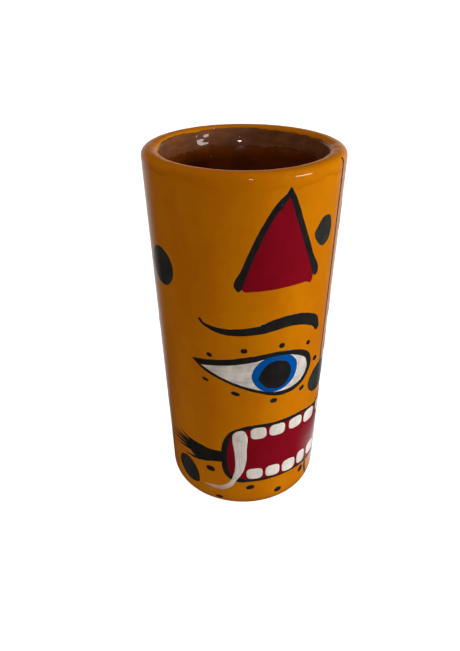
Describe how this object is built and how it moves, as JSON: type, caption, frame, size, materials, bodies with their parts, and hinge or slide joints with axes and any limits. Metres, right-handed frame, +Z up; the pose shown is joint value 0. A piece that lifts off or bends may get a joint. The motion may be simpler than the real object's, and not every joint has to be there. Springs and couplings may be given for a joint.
{
  "type": "painted clay tumbler",
  "caption": "Straight-sided thrown clay tumbler, flared a little to a thick rounded lip, glazed inside and painted outside with the face of a spotted big cat.",
  "frame": {"origin": "centre of the foot, on the plane that the cup stands on", "axes": "+Z up along the cup's axis; the centre line of the painted face is towards -Y, so +X is on the right of someone who looks at the face"},
  "size_m": [0.0788, 0.079, 0.1504],
  "materials": {
    "fired_clay": "bare fired red clay, matt and faintly sandy",
    "brown_glaze": "glossy red-brown lead-free glaze over the clay inside",
    "ochre_enamel": "smooth yellow-ochre enamel under a clear gloss lacquer",
    "black_enamel": "brushed black enamel under a clear gloss lacquer",
    "red_enamel": "brushed crimson enamel under a clear gloss lacquer",
    "white_enamel": "brushed white enamel, thin at the ends of strokes, under a clear gloss lacquer",
    "blue_enamel": "brushed blue enamel under a clear gloss lacquer"
  },
  "bodies": {
    "root": {"clay_body": "fired_clay", "lining_glaze": "brown_glaze", "ochre_coat": "ochre_enamel", "nose": "black_enamel", "forehead_line": "black_enamel", "chin_line": "black_enamel", "mouth_outline": "black_enamel", "ear_outline_left": "black_enamel", "eyebrow_left": "black_enamel", "eye_outline_left": "black_enamel", "pupil_left": "black_enamel", "whiskers_left": "black_enamel", "forehead_spot_left": "black_enamel", "temple_spot_left": "black_enamel", "jaw_spot_left": "black_enamel", "chin_dot_left_1": "black_enamel", "chin_dot_left_2": "black_enamel", "chin_dot_left_3": "black_enamel", "chin_dot_left_4": "black_enamel", "ear_outline_right": "black_enamel", "eyebrow_right": "black_enamel", "eye_outline_right": "black_enamel", "pupil_right": "black_enamel", "whiskers_right": "black_enamel", "forehead_spot_right": "black_enamel", "temple_spot_right": "black_enamel", "jaw_spot_right": "black_enamel", "chin_dot_right_1": "black_enamel", "chin_dot_right_2": "black_enamel", "chin_dot_right_3": "black_enamel", "chin_dot_right_4": "black_enamel", "back_spot_1": "black_enamel", "back_spot_2": "black_enamel", "back_spot_3": "black_enamel", "mouth_red": "red_enamel", "ear_red_left": "red_enamel", "ear_red_right": "red_enamel", "eye_white_left": "white_enamel", "fang_left": "white_enamel", "eye_white_right": "white_enamel", "fang_right": "white_enamel", "upper_tooth_1": "white_enamel", "upper_tooth_2": "white_enamel", "upper_tooth_3": "white_enamel", "upper_tooth_4": "white_enamel", "upper_tooth_5": "white_enamel", "upper_tooth_6": "white_enamel", "upper_tooth_7": "white_enamel", "upper_tooth_8": "white_enamel", "lower_tooth_1": "white_enamel", "lower_tooth_2": "white_enamel", "lower_tooth_3": "white_enamel", "lower_tooth_4": "white_enamel", "lower_tooth_5": "white_enamel", "lower_tooth_6": "white_enamel", "lower_tooth_7": "white_enamel", "lower_tooth_8": "white_enamel", "lower_tooth_9": "white_enamel", "iris_left": "blue_enamel", "iris_right": "blue_enamel"}
  },
  "joints": []
}
